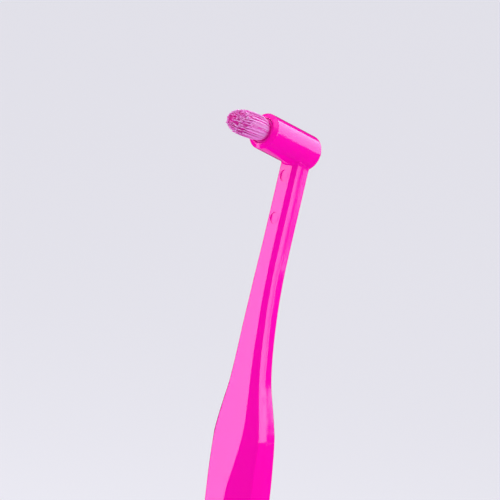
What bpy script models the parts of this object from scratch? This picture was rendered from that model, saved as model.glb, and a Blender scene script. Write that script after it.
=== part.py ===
"""A single tuft toothbrush: a moulded handle, the filament tuft in its barrel, and the tuft's anchor.

Metres, +Z up. The origin is the centre of the flat butt end. The grip rises along +Z, and the tuft faces -Y.
"""

import math

import bmesh
import bpy
from mathutils import Matrix, Vector

# Grip, a straight bar with eight flats
GRIP_LENGTH = 0.1110
GRIP_FLATS = 0.0089
GRIP_EDGE_RADIUS = 0.00028
BUTT_TAPER_HEIGHT = 0.0014
BUTT_TAPER_INSET = 0.0008

# Neck, from the top of the grip to the barrel's axis, measured along its centreline
NECK_LENGTH = 0.0492
NECK_WIDTH = 0.0033
NECK_DEPTH = 0.0033
NECK_CORNER_CUT = 0.00052
BEND_START = 0.0135
BEND_RADIUS = 0.1200
BEND_ANGLE = math.radians(9.6)
# Each row: how far up the neck, then how much of the way from the neck's own size to the grip's size
# for width, depth and corner cut
NECK_SECTION_SHARES = (
    (0.000, 1.000, 1.000, 1.000),
    (0.090, 1.000, 0.900, 0.890),
    (0.175, 0.990, 0.670, 0.680),
    (0.255, 0.730, 0.345, 0.330),
    (0.340, 0.430, 0.150, 0.160),
    (0.420, 0.255, 0.070, 0.090),
    (0.500, 0.140, 0.020, 0.045),
    (0.585, 0.050, 0.000, 0.015),
    (0.680, 0.000, 0.000, 0.000),
    (1.000, 0.000, 0.000, 0.000),
)
NECK_RINGS = 34

# Two round ejector marks, sunk in the neck's front face
MARK_DIAMETER = 0.0016
MARK_DEPTH = 0.00012
MARK_BELOW_BARREL = 0.00135
MARK_PITCH = 0.0059
MARK_COUNT = 2
MARK_SIDES = 28

# Barrel, the short cylinder across the top of the neck
BARREL_DIAMETER = 0.0051
BARREL_LENGTH = 0.01027
BARREL_REAR_OVERHANG = 0.00217
BARREL_TILT = math.radians(10.9)
BARREL_REAR_RADIUS = 0.00070
# The rim slopes back from the hole's edge to the barrel's side
RIM_FALL = 0.00055
RIM_OUTER_RADIUS = 0.00025
RIM_INNER_RADIUS = 0.00010
BARREL_SIDES = 56
FILLET_STEPS = 6

# Tuft hole in the barrel, whose floor leaves a wall of plastic in front of the neck's own front face
HOLE_DIAMETER = 0.0035
HOLE_FLOOR_WALL = 0.00115
HOLE_DEPTH = BARREL_LENGTH - BARREL_REAR_OVERHANG - NECK_DEPTH / 2 - HOLE_FLOOR_WALL

# Tuft, a bundle of filaments folded under the anchor and trimmed to the end of an ellipsoid
TUFT_REACH = 0.00675
TUFT_SHOULDER = 0.0030
TUFT_LEAN = math.radians(3.4)
TUFT_SPLAY_SHARE = 0.20
ROOT_RECESS = 0.0003
ROOT_CLEARANCE = 0.00005
ROOT_SIDES = 40
ROOT_MARGIN = 0.00003
FILAMENT_COUNT = 430
FILAMENT_DIAMETER = 0.000115
FILAMENT_TIP_DIAMETER = 0.000075
FILAMENT_POINT = 0.00022
FILAMENT_EMBED = 0.00020
FILAMENT_STAGGER = 0.00030
FILAMENT_SIDES = 3

# Anchor, a flat metal plate driven across the fold of the bundle
ANCHOR_THICKNESS = 0.00030
ANCHOR_HEIGHT = 0.0016
ANCHOR_BITE = 0.00020
ANCHOR_CLEARANCE = 0.00005
ANCHOR_ABOVE_FLOOR = 0.0008
ANCHOR_EDGE_RADIUS = 0.00004

# How far a cutter runs past the surface that it cuts
CUT_OVERRUN = 0.0005
MERGE_DISTANCE = 0.000001
BEVEL_ANGLE = math.radians(30)
BEVEL_SEGMENTS = 3
GOLDEN_ANGLE = math.pi * (3 - math.sqrt(5))

PINK_PLASTIC = {"color": (0.95, 0.004, 0.37, 1.0), "roughness": 0.16, "metallic": 0.0}
LILAC_FILAMENT = {"color": (0.78, 0.22, 0.56, 1.0), "roughness": 0.45, "metallic": 0.0}
ANCHOR_METAL = {"color": (0.72, 0.68, 0.60, 1.0), "roughness": 0.35, "metallic": 1.0}


def clear_scene():
    """Removes every object that the file opened with."""
    for obj in list(bpy.data.objects):
        bpy.data.objects.remove(obj)


def new_collection(name):
    """A collection of that name in the scene."""
    collection = bpy.data.collections.new(name)
    bpy.context.scene.collection.children.link(collection)
    return collection


def new_material(name, look):
    """A Principled BSDF material with one colour, roughness and metallic value."""
    material = bpy.data.materials.new(name)
    material.use_nodes = True
    shader = material.node_tree.nodes["Principled BSDF"]
    shader.inputs["Base Color"].default_value = look["color"]
    shader.inputs["Roughness"].default_value = look["roughness"]
    shader.inputs["Metallic"].default_value = look["metallic"]
    return material


def object_from_bmesh(bm, name, collection, smooth=True):
    """Turns a bmesh into a named object, with its faces pointing out."""
    bmesh.ops.recalc_face_normals(bm, faces=bm.faces)
    mesh = bpy.data.meshes.new(name)
    bm.to_mesh(mesh)
    bm.free()
    if smooth:
        mesh.shade_smooth()
        mesh.set_sharp_from_angle(angle=BEVEL_ANGLE)
    obj = bpy.data.objects.new(name, mesh)
    collection.objects.link(obj)
    return obj


def make_cutter(obj):
    """Marks an object as a helper that isn't part of the toothbrush."""
    obj.hide_render = True
    obj.display_type = "WIRE"
    return obj


def add_boolean(obj, other, operation):
    """Joins or cuts an object with another by a Boolean modifier."""
    modifier = obj.modifiers.new(f"{operation.lower()} {other.name}", "BOOLEAN")
    modifier.operation = operation
    modifier.object = other
    modifier.solver = "EXACT"


def add_bevel(obj, width):
    """Rounds an object's sharp edges."""
    modifier = obj.modifiers.new("rounded edges", "BEVEL")
    modifier.width = width
    modifier.segments = BEVEL_SEGMENTS
    modifier.limit_method = "ANGLE"
    modifier.angle_limit = BEVEL_ANGLE


def smooth_table(rows, at, column):
    """Reads a column of a table at a place between its rows, on a curve that never overshoots them."""
    steps = [b[0] - a[0] for a, b in zip(rows, rows[1:])]
    slopes = [(b[column] - a[column]) / step for a, b, step in zip(rows, rows[1:], steps)]
    tangents = [slopes[0]]
    for before, after in zip(slopes, slopes[1:]):
        same_way = before * after > 0
        tangents.append(2 * before * after / (before + after) if same_way else 0.0)
    tangents.append(slopes[-1])
    index = max(i for i in range(len(steps)) if at >= rows[i][0] or i == 0)
    t = (at - rows[index][0]) / steps[index]
    start, end = rows[index][column], rows[index + 1][column]
    return (
        (2 * t**3 - 3 * t**2 + 1) * start
        + (t**3 - 2 * t**2 + t) * steps[index] * tangents[index]
        + (3 * t**2 - 2 * t**3) * end
        + (t**3 - t**2) * steps[index] * tangents[index + 1]
    )


def octagon_corner_cut(across_flats):
    """The length that each corner of a square loses when it becomes a regular octagon."""
    return across_flats * (1 - math.tan(math.pi / 8)) / 2


def neck_frame(rise):
    """The neck's centreline at a distance above the grip: straight, then an arc leaning back, then straight.

    It gives a matrix whose Z runs up the neck, whose X stays level and whose Y points to the back.
    """
    angle = min(max((rise - BEND_START) / BEND_RADIUS, 0.0), BEND_ANGLE)
    straight_start = min(rise, BEND_START)
    straight_end = max(rise - BEND_START - BEND_RADIUS * BEND_ANGLE, 0.0)
    back = BEND_RADIUS * (1 - math.cos(angle)) + straight_end * math.sin(BEND_ANGLE)
    up = straight_start + BEND_RADIUS * math.sin(angle) + straight_end * math.cos(BEND_ANGLE)
    place = Matrix.Translation((0, back, GRIP_LENGTH + up))
    return place @ Matrix.Rotation(-angle, 4, "X")


def cut_rectangle(width, depth, corner_cut):
    """The eight corners of a rectangle with cut corners, counter-clockwise from above."""
    x, y, c = width / 2, depth / 2, corner_cut
    return (
        (x, y - c), (x - c, y), (c - x, y), (-x, y - c),
        (-x, c - y), (c - x, -y), (x - c, -y), (x, c - y),
    )


def neck_section(rise):
    """Width, depth and corner cut of the neck at a distance above the grip."""
    share = rise / NECK_LENGTH
    cut = octagon_corner_cut(GRIP_FLATS)
    pairs = ((NECK_WIDTH, GRIP_FLATS), (NECK_DEPTH, GRIP_FLATS), (NECK_CORNER_CUT, cut))
    return [
        neck + (grip - neck) * smooth_table(NECK_SECTION_SHARES, share, column)
        for column, (neck, grip) in enumerate(pairs, start=1)
    ]


def barrel_frame():
    """The barrel's mouth: Z points out of the mouth, X stays level and Y points up the neck."""
    neck_top = neck_frame(NECK_LENGTH)
    mouth_reach = BARREL_LENGTH - BARREL_REAR_OVERHANG
    turned = neck_top @ Matrix.Rotation(math.pi / 2 - BARREL_TILT, 4, "X")
    return turned @ Matrix.Translation((0, 0, mouth_reach))


def fillet(before, corner, after, radius):
    """Points of the arc that rounds a corner of an outline and touches the sides before and after it."""
    corner = Vector(corner)
    back = (Vector(before) - corner).normalized()
    ahead = (Vector(after) - corner).normalized()
    half = back.angle(ahead) / 2
    centre = corner + (back + ahead).normalized() * (radius / math.sin(half))
    first = corner + back * (radius / math.tan(half)) - centre
    last = corner + ahead * (radius / math.tan(half)) - centre
    turn = math.pi - 2 * half
    for step in range(FILLET_STEPS + 1):
        share = step / FILLET_STEPS
        yield centre + (first * math.sin((1 - share) * turn) + last * math.sin(share * turn)) / math.sin(turn)


def build_shaft(collection):
    """Grip and neck as one loft of cut rectangles, from the butt to the barrel's axis."""
    regular_cut = octagon_corner_cut(GRIP_FLATS)
    butt_flats = GRIP_FLATS - 2 * BUTT_TAPER_INSET
    rings = [
        (Matrix.Identity(4), (butt_flats, butt_flats, octagon_corner_cut(butt_flats))),
        (Matrix.Translation((0, 0, BUTT_TAPER_HEIGHT)), (GRIP_FLATS, GRIP_FLATS, regular_cut)),
    ]
    for ring in range(NECK_RINGS + 1):
        rise = NECK_LENGTH * ring / NECK_RINGS
        rings.append((neck_frame(rise), neck_section(rise)))
    bm = bmesh.new()
    loops = []
    for frame, section in rings:
        corners = cut_rectangle(*section)
        loops.append([bm.verts.new(frame @ Vector((x, y, 0))) for x, y in corners])
    for lower, upper in zip(loops, loops[1:]):
        for i in range(len(lower)):
            j = (i + 1) % len(lower)
            bm.faces.new((lower[i], lower[j], upper[j], upper[i]))
    bm.faces.new(reversed(loops[0]))
    bm.faces.new(loops[-1])
    shaft = object_from_bmesh(bm, "handle", collection)
    add_bevel(shaft, GRIP_EDGE_RADIUS)
    return shaft


def build_barrel(collection):
    """The barrel with its tuft hole, turned from one profile that starts and ends on the axis."""
    outer, hole = BARREL_DIAMETER / 2, HOLE_DIAMETER / 2
    floor_edge, mouth_edge = (hole, -HOLE_DEPTH), (hole, 0)
    side_front, side_rear = (outer, -RIM_FALL), (outer, -BARREL_LENGTH)
    rear_middle = (0, -BARREL_LENGTH)
    profile = [
        (0, -HOLE_DEPTH),
        floor_edge,
        *fillet(floor_edge, mouth_edge, side_front, RIM_INNER_RADIUS),
        *fillet(mouth_edge, side_front, side_rear, RIM_OUTER_RADIUS),
        *fillet(side_front, side_rear, rear_middle, BARREL_REAR_RADIUS),
        rear_middle,
    ]
    mesh = bpy.data.meshes.new("barrel_blank")
    points = [(x, 0, z) for x, z in profile]
    edges = [(i, i + 1) for i in range(len(points) - 1)]
    mesh.from_pydata(points, edges, [])
    barrel = bpy.data.objects.new("barrel_blank", mesh)
    collection.objects.link(barrel)
    turn = barrel.modifiers.new("turned", "SCREW")
    turn.axis = "Z"
    turn.steps = BARREL_SIDES
    turn.render_steps = BARREL_SIDES
    turn.use_merge_vertices = True
    turn.merge_threshold = MERGE_DISTANCE
    turn.use_smooth_shade = True
    barrel.matrix_world = barrel_frame()
    return make_cutter(barrel)


def build_mark_cutters(collection):
    """Short cylinders that sink the ejector marks into the neck's front face."""
    top = NECK_LENGTH - BARREL_DIAMETER / 2 - MARK_BELOW_BARREL
    cutters = []
    for number in range(MARK_COUNT):
        rise = top - MARK_PITCH * number
        depth = neck_section(rise)[1]
        height = MARK_DEPTH + CUT_OVERRUN
        bm = bmesh.new()
        bmesh.ops.create_cone(
            bm, cap_ends=True, segments=MARK_SIDES,
            radius1=MARK_DIAMETER / 2, radius2=MARK_DIAMETER / 2, depth=height,
        )
        cutter = object_from_bmesh(bm, f"mark_cutter_{number + 1}", collection)
        middle = -depth / 2 + MARK_DEPTH - height / 2
        into_face = Matrix.Translation((0, middle, 0)) @ Matrix.Rotation(math.pi / 2, 4, "X")
        cutter.matrix_world = neck_frame(rise) @ into_face
        cutters.append(make_cutter(cutter))
    return cutters


def build_box(name, size, centre, collection):
    """A box of that size, centred in the barrel's frame."""
    bm = bmesh.new()
    bmesh.ops.create_cube(bm, size=1)
    bmesh.ops.scale(bm, vec=size, verts=bm.verts)
    box = object_from_bmesh(bm, name, collection, smooth=False)
    box.matrix_world = barrel_frame() @ Matrix.Translation(centre)
    return box


def anchor_size(clearance):
    """The anchor's width, thickness and height, each grown by a clearance on both sides."""
    width = HOLE_DIAMETER + 2 * ANCHOR_BITE
    return [side + 2 * clearance for side in (width, ANCHOR_THICKNESS, ANCHOR_HEIGHT)]


def anchor_centre():
    """The anchor's middle in the barrel's frame."""
    return (0, 0, -HOLE_DEPTH + ANCHOR_ABOVE_FLOOR + ANCHOR_HEIGHT / 2)


def build_handle(parts, cutters):
    """The one-piece moulding: grip, neck and barrel, with its ejector marks and the anchor's pocket."""
    handle = build_shaft(parts)
    add_boolean(handle, build_barrel(cutters), "UNION")
    for cutter in build_mark_cutters(cutters):
        add_boolean(handle, cutter, "DIFFERENCE")
    pocket = build_box("anchor_pocket", anchor_size(ANCHOR_CLEARANCE), anchor_centre(), cutters)
    add_boolean(handle, make_cutter(pocket), "DIFFERENCE")
    handle.data.materials.append(new_material("pink_plastic", PINK_PLASTIC))
    return handle


def filament_ring(bm, foot, height, across, number):
    """One ring of a filament, on its leaning, splaying axis at a height above the barrel's mouth."""
    root_radius = HOLE_DIAMETER / 2 - ROOT_CLEARANCE - FILAMENT_DIAMETER / 2 - ROOT_MARGIN
    share = math.sqrt((number + 0.5) / FILAMENT_COUNT)
    angle = number * GOLDEN_ANGLE
    climbed = height - foot
    spread = root_radius * share * (1 + TUFT_SPLAY_SHARE * climbed / TUFT_REACH)
    x = spread * math.cos(angle)
    y = spread * math.sin(angle) - math.tan(TUFT_LEAN) * climbed
    if not across:
        return [bm.verts.new((x, y, height))]
    corners = [angle + 2 * math.pi * side / FILAMENT_SIDES for side in range(FILAMENT_SIDES)]
    return [
        bm.verts.new((x + across / 2 * math.cos(corner), y + across / 2 * math.sin(corner), height))
        for corner in corners
    ]


def build_filaments(collection):
    """All the filaments above the root: three-sided spikes in a sunflower pattern, trimmed to the dome."""
    foot = -ROOT_RECESS - FILAMENT_EMBED
    bm = bmesh.new()
    for number in range(FILAMENT_COUNT):
        share_squared = (number + 0.5) / FILAMENT_COUNT
        trimmed = TUFT_SHOULDER + (TUFT_REACH - TUFT_SHOULDER) * math.sqrt(1 - share_squared)
        tip = trimmed - FILAMENT_STAGGER * (number % 3) / 3
        base = filament_ring(bm, foot, foot, FILAMENT_DIAMETER, number)
        top = filament_ring(bm, foot, tip - FILAMENT_POINT, FILAMENT_TIP_DIAMETER, number)
        point, = filament_ring(bm, foot, tip, 0, number)
        bm.faces.new(reversed(base))
        for i in range(FILAMENT_SIDES):
            j = (i + 1) % FILAMENT_SIDES
            bm.faces.new((base[i], base[j], top[j], top[i]))
            bm.faces.new((top[i], top[j], point))
    filaments = object_from_bmesh(bm, "filament_blank", collection, smooth=False)
    filaments.matrix_world = barrel_frame()
    return make_cutter(filaments)


def build_tuft(parts, cutters):
    """The tuft: its folded root in the hole, slotted for the anchor, with the filaments fused to it."""
    root_bottom = -HOLE_DEPTH + ROOT_CLEARANCE
    root_height = -ROOT_RECESS - root_bottom
    bm = bmesh.new()
    bmesh.ops.create_cone(
        bm, cap_ends=True, segments=ROOT_SIDES,
        radius1=HOLE_DIAMETER / 2 - ROOT_CLEARANCE,
        radius2=HOLE_DIAMETER / 2 - ROOT_CLEARANCE,
        depth=root_height,
    )
    tuft = object_from_bmesh(bm, "filament_tuft", parts, smooth=False)
    tuft.matrix_world = barrel_frame() @ Matrix.Translation((0, 0, root_bottom + root_height / 2))
    slot_size = anchor_size(ANCHOR_CLEARANCE)
    slot_size[0] += 2 * CUT_OVERRUN
    slot = build_box("anchor_slot", slot_size, anchor_centre(), cutters)
    add_boolean(tuft, build_filaments(cutters), "UNION")
    add_boolean(tuft, make_cutter(slot), "DIFFERENCE")
    tuft.data.materials.append(new_material("lilac_filament", LILAC_FILAMENT))
    return tuft


def build_anchor(parts):
    """The flat metal plate that holds the fold of the bundle down, its ends biting into the hole's wall."""
    anchor = build_box("tuft_anchor", anchor_size(0), anchor_centre(), parts)
    add_bevel(anchor, ANCHOR_EDGE_RADIUS)
    anchor.data.materials.append(new_material("anchor_metal", ANCHOR_METAL))
    return anchor


def main():
    """Builds the toothbrush."""
    clear_scene()
    parts = new_collection("single_tuft_toothbrush")
    cutters = new_collection("cutters")
    build_handle(parts, cutters)
    build_tuft(parts, cutters)
    build_anchor(parts)


main()
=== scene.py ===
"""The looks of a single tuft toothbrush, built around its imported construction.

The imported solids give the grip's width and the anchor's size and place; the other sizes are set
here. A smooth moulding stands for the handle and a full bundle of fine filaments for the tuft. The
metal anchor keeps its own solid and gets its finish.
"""

import logging
import math
from dataclasses import dataclass
from enum import Enum

import bpy
import numpy as np
from bpy.types import Material, Mesh, Node, NodeSocket, NodeTree, Object
from mathutils import Matrix, Vector
from numpy import ndarray


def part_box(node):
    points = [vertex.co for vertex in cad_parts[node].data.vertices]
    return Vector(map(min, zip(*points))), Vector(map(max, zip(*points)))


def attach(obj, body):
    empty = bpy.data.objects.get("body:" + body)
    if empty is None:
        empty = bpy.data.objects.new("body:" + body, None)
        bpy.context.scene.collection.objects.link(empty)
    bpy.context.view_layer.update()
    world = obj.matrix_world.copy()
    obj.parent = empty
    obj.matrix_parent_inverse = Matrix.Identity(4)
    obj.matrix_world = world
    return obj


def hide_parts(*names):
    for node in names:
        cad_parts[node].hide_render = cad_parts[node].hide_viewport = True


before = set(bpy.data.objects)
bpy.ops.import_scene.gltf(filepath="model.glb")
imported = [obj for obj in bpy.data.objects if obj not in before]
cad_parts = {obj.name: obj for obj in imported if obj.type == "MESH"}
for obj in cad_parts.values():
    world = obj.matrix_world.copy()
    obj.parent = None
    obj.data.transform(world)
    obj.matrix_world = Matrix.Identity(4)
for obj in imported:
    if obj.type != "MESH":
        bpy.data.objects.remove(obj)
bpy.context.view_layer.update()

MM = 0.001
ACROSS = np.array([1.0, 0.0, 0.0])
LOG = logging.getLogger("toothbrush")


class Slot(Enum):
    """The material slots, by the names of their materials."""

    PLASTIC = "pink_plastic"
    FILAMENT = "lilac_filament"
    METAL = "anchor_metal"


# Outlines and curves


def unit(vectors: ndarray) -> ndarray:
    """Scales the vectors in the last axis to a length of 1."""
    return vectors / np.linalg.norm(vectors, axis=-1, keepdims=True)


def ring_angles(sides: int) -> ndarray:
    """Divides a full turn into equal steps, in radians."""
    return np.arange(sides) * 2 * math.pi / sides


def smooth_step(value: ndarray, low: float, high: float) -> ndarray:
    """Rises from 0 at low to 1 at high as 3t^2 - 2t^3, with t the clipped share of the way."""
    t = np.clip((value - low) / (high - low), 0, 1)
    return t**2 * (3 - 2 * t)


def without_repeats(line: ndarray, size: float) -> ndarray:
    """Leaves out each point that is within a thousandth of a size of the one before."""
    apart = np.linalg.norm(np.diff(line, axis=0), axis=1) > size * 1e-3
    return line[np.concatenate(([True], apart))]


def rounded_outline(corners: ndarray, radius: float, steps: int) -> ndarray:
    """Rounds the inner corners of an open line.

    Each corner becomes the arc of the circle of that radius that touches both its arms. With C the
    circle's centre and w the angle that the arc turns, its points are
    C + (sin((1-s)w) A + sin(sw) B) / sin(w) for s from 0 to 1, where A and B lead from C to the
    touching points.

    Args:
        corners: the line's points, one row each.
        radius: the circle's radius.
        steps: the number of pieces in each rounded corner.

    Returns:
        The points of the rounded line.
    """
    before, middle, after = corners[:-2], corners[1:-1], corners[2:]
    back, ahead = unit(before - middle), unit(after - middle)
    half_angle = np.arccos(np.clip((back * ahead).sum(axis=1), -1, 1)) / 2
    reach = (radius / np.tan(half_angle))[:, None]
    centre = middle + unit(back + ahead) * (radius / np.sin(half_angle))[:, None]
    a, b = middle + back * reach - centre, middle + ahead * reach - centre
    s = np.linspace(0, 1, steps + 1)[None, :, None]
    turn = (math.pi - 2 * half_angle)[:, None, None]
    arcs = np.sin((1 - s) * turn) * a[:, None] + np.sin(s * turn) * b[:, None]
    arcs = centre[:, None] + arcs / np.sin(turn)
    line = np.concatenate((corners[:1], arcs.reshape(-1, corners.shape[1]), corners[-1:]))
    return without_repeats(line, radius)


def hold_straights(line: ndarray, margin: float) -> ndarray:
    """Keeps the straight parts of an outline straight when its normals are smoothed.

    Every stretch longer than three margins gets a point a margin from each of its ends.

    Args:
        line: the outline's points, one row each.
        margin: the distance of the new points from the ends.

    Returns:
        The outline with the points added, and without points that coincide.
    """
    line = without_repeats(line, margin)
    step = np.diff(line, axis=0)
    length = np.linalg.norm(step, axis=1)[:, None]
    reach = np.where(length > 3 * margin, margin / length, 0.0)
    spread = np.stack((line[:-1], line[:-1] + step * reach, line[1:] - step * reach), axis=1)
    spread = np.concatenate((spread.reshape(-1, line.shape[1]), line[-1:]))
    kept = np.stack((np.ones_like(reach), reach, reach), axis=1).ravel() > 0
    return spread[np.concatenate((kept, [True]))]


def monotone_curve(rows: ndarray, at: ndarray) -> ndarray:
    """Reads a table between its rows on cubic pieces that never overshoot.

    Each piece is the Hermite cubic through two rows. Its slope at a row is the harmonic mean of the
    slopes on both sides, or zero where they differ in sign.

    Args:
        rows: the table, with the place in its first column.
        at: the places to read, inside the table.

    Returns:
        One row of the other columns for each place.
    """
    place, values = rows[:, 0], rows[:, 1:]
    steps = np.diff(place)[:, None]
    slopes = np.diff(values, axis=0) / steps
    before, after = slopes[:-1], slopes[1:]
    same_way = before * after > 0
    inner = 2 * before * after / np.where(same_way, before + after, 1)
    tangents = np.concatenate((slopes[:1], np.where(same_way, inner, 0), slopes[-1:]))
    index = np.clip(np.searchsorted(place, at, side="right") - 1, 0, len(steps) - 1)
    step = steps[index]
    t = (at - place[index])[:, None] / step
    return (
        (2 * t**3 - 3 * t**2 + 1) * values[index]
        + (t**3 - 2 * t**2 + t) * step * tangents[index]
        + (3 * t**2 - 2 * t**3) * values[index + 1]
        + (t**3 - t**2) * step * tangents[index + 1]
    )


# Meshes


def closed_loft(rings: ndarray, ends: ndarray | None = None) -> tuple[ndarray, ndarray]:
    """Skins a stack of closed rings and closes both ends with a fan to a point.

    Vertex i of a ring is joined to vertex i + 1 of it and to both these vertices of the next ring.
    Where the sum of a . (b x c) over all triangles is negative, the faces point inwards and turn.

    Args:
        rings: the points, as ring by point by three coordinates.
        ends: the points that close the first and the last ring, or None for those rings' middles.

    Returns:
        The vertices and the quads, facing outwards; a fan's triangles repeat a vertex.
    """
    count, sides, _ = rings.shape
    ends = rings[[0, -1]].mean(axis=1) if ends is None else ends
    here = np.arange(sides)
    after = np.roll(here, -1)
    base = np.arange(count - 1)[:, None] * sides
    walls = (base + here, base + after, base + sides + after, base + sides + here)
    walls = np.stack(walls, axis=-1).reshape(-1, 4)
    last = (count - 1) * sides
    start, end = np.full(sides, count * sides), np.full(sides, count * sides + 1)
    start_fan = np.stack((after, here, start, start), axis=-1)
    end_fan = np.stack((last + here, last + after, end, end), axis=-1)
    points = np.concatenate((rings.reshape(-1, 3), ends))
    quads = np.concatenate((walls, start_fan, end_fan))
    a, b, c, d = (points[quads[:, corner]] for corner in range(4))
    if np.sum(a * (np.cross(b, c) + np.cross(c, d))) < 0:
        quads = np.concatenate((quads[:, 2::-1], quads[:, 3:]), axis=1)
    return points, quads


def mesh_object(name: str, points: ndarray, quads: ndarray) -> Object:
    """Makes an object from vertices and quads.

    Args:
        name: the object's name.
        points: the vertices, one row each.
        quads: four vertex numbers a row; a triangle repeats one of them.

    Returns:
        The new object, in the scene.
    """
    faces = [list(dict.fromkeys(quad)) for quad in quads.tolist()]
    mesh = bpy.data.meshes.new(name)
    mesh.from_pydata(points.tolist(), [], faces)
    mesh.validate()
    obj = bpy.data.objects.new(name, mesh)
    bpy.context.scene.collection.objects.link(obj)
    return obj


def combine(obj: Object, other: Object, operation: str) -> None:
    """Joins or cuts an object with another, which is then removed.

    Args:
        obj: the object that stays.
        other: the object that is used up.
        operation: UNION or DIFFERENCE.
    """
    boolean = obj.modifiers.new(operation.lower(), "BOOLEAN")
    boolean.operation = operation
    boolean.solver = "EXACT"
    boolean.object = other
    depsgraph = bpy.context.evaluated_depsgraph_get()
    mesh = bpy.data.meshes.new_from_object(obj.evaluated_get(depsgraph))
    obj.modifiers.clear()
    obj.data = mesh
    bpy.data.objects.remove(other)


def dress(obj: Object, material: Material) -> None:
    """Gives an object its one material."""
    obj.data.materials.clear()
    obj.data.materials.append(material)


# Shader building


class Nodes:
    """A node tree and short ways to add to it."""

    def __init__(self, tree: NodeTree) -> None:
        """Takes the tree."""
        self.tree = tree

    def link(self, source: NodeSocket, target: NodeSocket) -> None:
        """Joins two sockets."""
        self.tree.links.new(source, target)

    def fill(self, node: Node, inputs: dict) -> Node:
        """Fills a node's inputs.

        Args:
            node: the node.
            inputs: a number, a colour, a vector or another node's socket for each input.

        Returns:
            The node.
        """
        for name, value in inputs.items():
            target = node.inputs[name]
            if isinstance(value, NodeSocket):
                self.link(value, target)
            else:
                target.default_value = (*value, 1.0) if target.type == "RGBA" else value
        return node

    def node(self, kind: str, inputs: dict | None = None, **settings: object) -> Node:
        """Adds a node.

        Args:
            kind: the node's type name after ShaderNode.
            inputs: what goes into its inputs, as for fill.
            settings: values for the node's own properties.

        Returns:
            The node.
        """
        made = self.tree.nodes.new(f"ShaderNode{kind}")
        for key, value in settings.items():
            setattr(made, key, value)
        return self.fill(made, inputs or {})

    def math(self, operation: str, first: NodeSocket, second: NodeSocket) -> NodeSocket:
        """Works out one value from two."""
        return self.node("Math", {0: first, 1: second}, operation=operation).outputs["Value"]

    def ramp(
        self, source: NodeSocket, result: tuple, band: tuple = (0, 1), kind: str = "LINEAR"
    ) -> NodeSocket:
        """Maps a value from one range to another.

        Args:
            source: the value's socket.
            result: the results at the band's ends.
            band: the values between which the result changes.
            kind: LINEAR or SMOOTHSTEP.

        Returns:
            The result's socket.
        """
        names = ("From Min", "From Max", "To Min", "To Max")
        inputs = {"Value": source, **dict(zip(names, (*band, *result)))}
        return self.node("MapRange", inputs, interpolation_type=kind).outputs["Result"]

    def blend(self, share: NodeSocket, first: tuple | NodeSocket, second: tuple) -> NodeSocket:
        """Mixes two colours, with the share of the second one."""
        inputs = {"Factor": share, "A": first, "B": second}
        return self.node("Mix", inputs, data_type="RGBA").outputs["Result"]


class Shader(Nodes):
    """A material with its Principled shader."""

    def __init__(self, name: str) -> None:
        """Makes the material."""
        self.material = bpy.data.materials.new(name)
        self.material.use_nodes = True
        super().__init__(self.material.node_tree)
        self.principled = self.tree.nodes["Principled BSDF"]


def micro_surface_group() -> NodeTree:
    """Builds the small unevenness that every material here uses.

    Cloud is a soft noise, Grain a fine one, and Height adds them with their own weights.

    Returns:
        The node group.
    """
    tree = bpy.data.node_groups.new("micro_surface", "ShaderNodeTree")
    names = {
        "INPUT": ("Vector", "Cloud Scale", "Grain Scale", "Cloud Weight", "Grain Weight"),
        "OUTPUT": ("Cloud", "Grain", "Height"),
    }
    for way, sockets in names.items():
        for name in sockets:
            kind = "NodeSocketVector" if name == "Vector" else "NodeSocketFloat"
            tree.interface.new_socket(name=name, in_out=way, socket_type=kind)
    entry = tree.nodes.new("NodeGroupInput").outputs
    leave = tree.nodes.new("NodeGroupOutput").inputs
    nodes = Nodes(tree)
    weighted = []
    for layer, detail in (("Cloud", 3.0), ("Grain", 2.0)):
        inputs = {"Vector": entry["Vector"], "Scale": entry[f"{layer} Scale"], "Detail": detail}
        noise = nodes.node("TexNoise", inputs).outputs["Fac"]
        nodes.link(noise, leave[layer])
        weighted.append(nodes.math("MULTIPLY", noise, entry[f"{layer} Weight"]))
    nodes.link(nodes.math("ADD", *weighted), leave["Height"])
    return tree


# Finishes


@dataclass(frozen=True)
class Finish:
    """A finish of two tones mixed by a soft cloud, with an uneven gloss and a fine bump.

    The scales are the cloud's and the grain's, and the cloud's weight is its share of the bump. The
    plain values are the same all over the surface, each for one of the shader's own inputs.
    """

    slot: Slot
    colour: tuple
    deep_colour: tuple
    roughness: tuple
    scales: tuple
    cloud_weight: float
    bump_share: float
    bump_height: float
    plain: tuple

    def coordinates(self, shader: Shader) -> NodeSocket:
        """Reads the piece's Object coordinates."""
        return shader.node("TexCoord").outputs["Object"]

    def base_colour(self, shader: Shader, cloud: NodeSocket) -> NodeSocket:
        """Mixes the two tones by the cloud."""
        return shader.blend(cloud, self.colour, self.deep_colour)

    def material(self, micro: NodeTree) -> Material:
        """Builds the material.

        Args:
            micro: the shared group of small unevenness.

        Returns:
            The material.
        """
        shader = Shader(self.slot.value)
        uneven = shader.node("Group", node_tree=micro)
        shader.fill(uneven, {
            "Vector": self.coordinates(shader),
            "Cloud Scale": self.scales[0],
            "Grain Scale": self.scales[1],
            "Cloud Weight": self.cloud_weight,
            "Grain Weight": 1 - self.cloud_weight,
        })
        cloud, grain, height = uneven.outputs
        bump = {"Height": height, "Strength": self.bump_share, "Distance": self.bump_height}
        shader.fill(shader.principled, {
            "Base Color": self.base_colour(shader, cloud),
            "Roughness": shader.ramp(grain, self.roughness),
            "Normal": shader.node("Bump", bump).outputs["Normal"],
            **dict(self.plain),
        })
        return shader.material


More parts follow.
